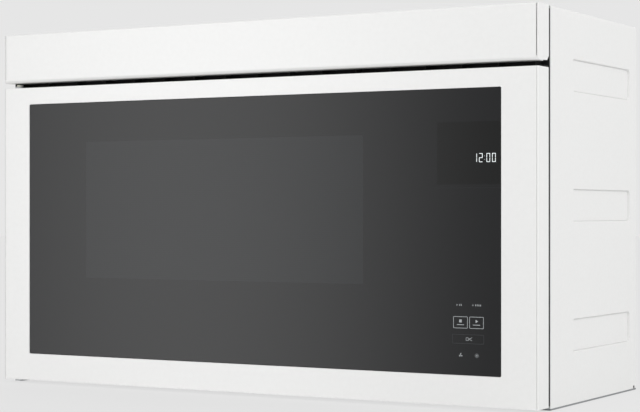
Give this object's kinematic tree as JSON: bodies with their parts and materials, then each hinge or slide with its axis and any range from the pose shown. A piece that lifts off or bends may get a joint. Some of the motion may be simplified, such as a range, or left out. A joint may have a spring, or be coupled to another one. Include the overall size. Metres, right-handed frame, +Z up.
{
  "type": "over the range microwave oven",
  "caption": "Wide built-in oven with a full-width side-hung dark glass door, a white housing with pressed side recesses and a vent fascia above the door.",
  "frame": {"origin": "middle of the underside of the bounding box, under the base plate", "axes": "+X to the right of a person who faces the door, +Y from the door to the wall, +Z up"},
  "size_m": [0.7588, 0.313, 0.456],
  "materials": {
    "cabinet_white": "smooth satin white paint",
    "fascia_white": "smooth glossy white",
    "door_white": "smooth glossy white",
    "base_grey": "dark grey coated sheet",
    "zinc_sheet": "zinc-coated sheet",
    "frame_grey": "light grey coated sheet",
    "cavity_enamel": "light grey enamel",
    "ceramic_floor": "off-white glass ceramic",
    "antenna_aluminium": "plain sheet",
    "motor_steel": "plated steel",
    "louver_black": "matte black",
    "hinge_steel": "plated steel",
    "nylon_white": "natural nylon",
    "door_glass": "dark tinted front glass, glossy",
    "pan_enamel": "black enamel",
    "choke_black": "matte black",
    "inner_glass": "clear",
    "screen_black": "black coated perforated sheet",
    "board_black": "black film on a board",
    "display_black": "dark display case",
    "rubber_black": "soft black rubber",
    "latch_grey": "grey moulding",
    "spring_steel": "spring steel",
    "switch_black": "black moulding",
    "switch_red": "red moulding",
    "lever_steel": "pale moulding",
    "plunger_steel": "bright steel",
    "magnetron_metal": "plain fins",
    "core_steel": "varnished laminations",
    "winding_copper": "enamelled copper",
    "can_aluminium": "drawn can",
    "fan_white": "white moulding",
    "scroll_sheet": "zinc-coated sheet",
    "wheel_black": "black moulding",
    "charcoal": "charcoal in a black frame",
    "filter_aluminium": "layered mesh in a frame",
    "lens_glass": "frosted",
    "lamp_case": "plated case",
    "board_green": "circuit board"
  },
  "bodies": {
    "housing": {"outer_wrap": "cabinet_white", "base_plate": "base_grey", "rear_panel": "zinc_sheet", "front_frame": "frame_grey", "cavity_liner": "cavity_enamel", "ceramic_floor": "ceramic_floor", "waveguide": "zinc_sheet", "stirrer_motor": "motor_steel", "inner_deck": "zinc_sheet", "blower_deck": "zinc_sheet", "air_duct": "zinc_sheet", "vent_fascia": "fascia_white", "fascia_end_caps": "fascia_white", "vent_louver": "louver_black", "hinge_brackets": "hinge_steel", "latch_board": "latch_grey", "interlock_switches": "switch_black", "opener_solenoid": "motor_steel", "magnetron_tube": "magnetron_metal", "magnetron_yoke": "zinc_sheet", "transformer_core": "core_steel", "transformer_windings": "winding_copper", "capacitor": "can_aluminium", "capacitor_clamp": "zinc_sheet", "fan_shroud": "zinc_sheet", "fan_motor": "motor_steel", "blower_housings": "scroll_sheet", "blower_motor": "motor_steel", "charcoal_filter": "charcoal", "cooktop_lamp_lenses": "lens_glass", "cooktop_lamps": "lamp_case", "exhaust_cover": "zinc_sheet", "cabinet_bolt_nuts": "hinge_steel", "cord_grommet": "rubber_black", "power_board": "board_green", "line_filter_board": "board_green", "thermal_cutouts": "switch_black", "cavity_lamp": "lamp_case"},
    "door": {"door_frame": "door_white", "door_glass": "door_glass", "door_inner_pan": "pan_enamel", "choke_cover": "choke_black", "inner_glass": "inner_glass", "window_screen": "screen_black", "touch_board": "board_black", "display_module": "display_black", "door_bumpers": "rubber_black", "hinge_blocks": "hinge_steel", "hinge_bushes": "nylon_white"},
    "latch": {"latch_key": "latch_grey", "latch_spring": "spring_steel"},
    "opener": {"opener_lever": "lever_steel"},
    "solenoid_core": {"solenoid_plunger": "plunger_steel"},
    "switch_buttons": {"switch_plungers": "switch_red"},
    "antenna": {"stirrer": "antenna_aluminium"},
    "magnetron_fan": {"fan_wheel": "fan_white"},
    "vent_blower": {"vent_wheels": "wheel_black"},
    "filter_left": {"grease_filter_left": "filter_aluminium"},
    "filter_right": {"grease_filter_right": "filter_aluminium"}
  },
  "joints": [
    {"name": "door_swing", "type": "hinge", "parent": "housing", "child": "door", "pos_m": [-0.3654, -0.1415, 0.2], "axis": [0, 0, -1], "range_deg": [0, 100]},
    {"name": "latch_slide", "type": "slide", "parent": "door", "child": "latch", "axis": [0, 0, 1], "range_m": [0, 0.00447], "stiffness_N_per_m": 400, "springref_m": -0.003, "deforming": ["latch_spring"]},
    {"name": "opener_turn", "type": "hinge", "parent": "housing", "child": "opener", "pos_m": [0.264, -0.0834, 0.153], "axis": [-1, 0, 0], "range_deg": [0, 8.4]},
    {"name": "solenoid_pull", "type": "slide", "parent": "housing", "child": "solenoid_core", "axis": [0, 0, -1], "range_m": [0, 0.00235]},
    {"name": "switch_release", "type": "slide", "parent": "housing", "child": "switch_buttons", "axis": [0, -1, 0], "range_m": [0, 0.0013]},
    {"name": "stirrer_spin", "type": "hinge", "parent": "housing", "child": "antenna", "pos_m": [-0.043, 0.0047, 0.0912], "axis": [0, 0, 1], "continuous": true},
    {"name": "magnetron_fan_spin", "type": "hinge", "parent": "housing", "child": "magnetron_fan", "pos_m": [0.29, 0.0645, 0.1762], "axis": [0, 1, 0], "continuous": true},
    {"name": "vent_blower_spin", "type": "hinge", "parent": "housing", "child": "vent_blower", "pos_m": [0, 0.0825, 0.3919], "axis": [1, 0, 0], "continuous": true},
    {"name": "filter_left_slide", "type": "slide", "parent": "housing", "child": "filter_left", "axis": [0, 1, 0], "range_m": [0, 0.008]},
    {"name": "filter_right_slide", "type": "slide", "parent": "housing", "child": "filter_right", "axis": [0, 1, 0], "range_m": [0, 0.008]}
  ],
  "couplings": [
    {"joint": "opener_turn", "follows": "latch_slide", "rad_per_m": 32.787},
    {"joint": "solenoid_pull", "follows": "latch_slide", "ratio": 0.4564},
    {"joint": "switch_release", "follows": "door_swing", "m_per_rad": 0.000688}
  ]
}
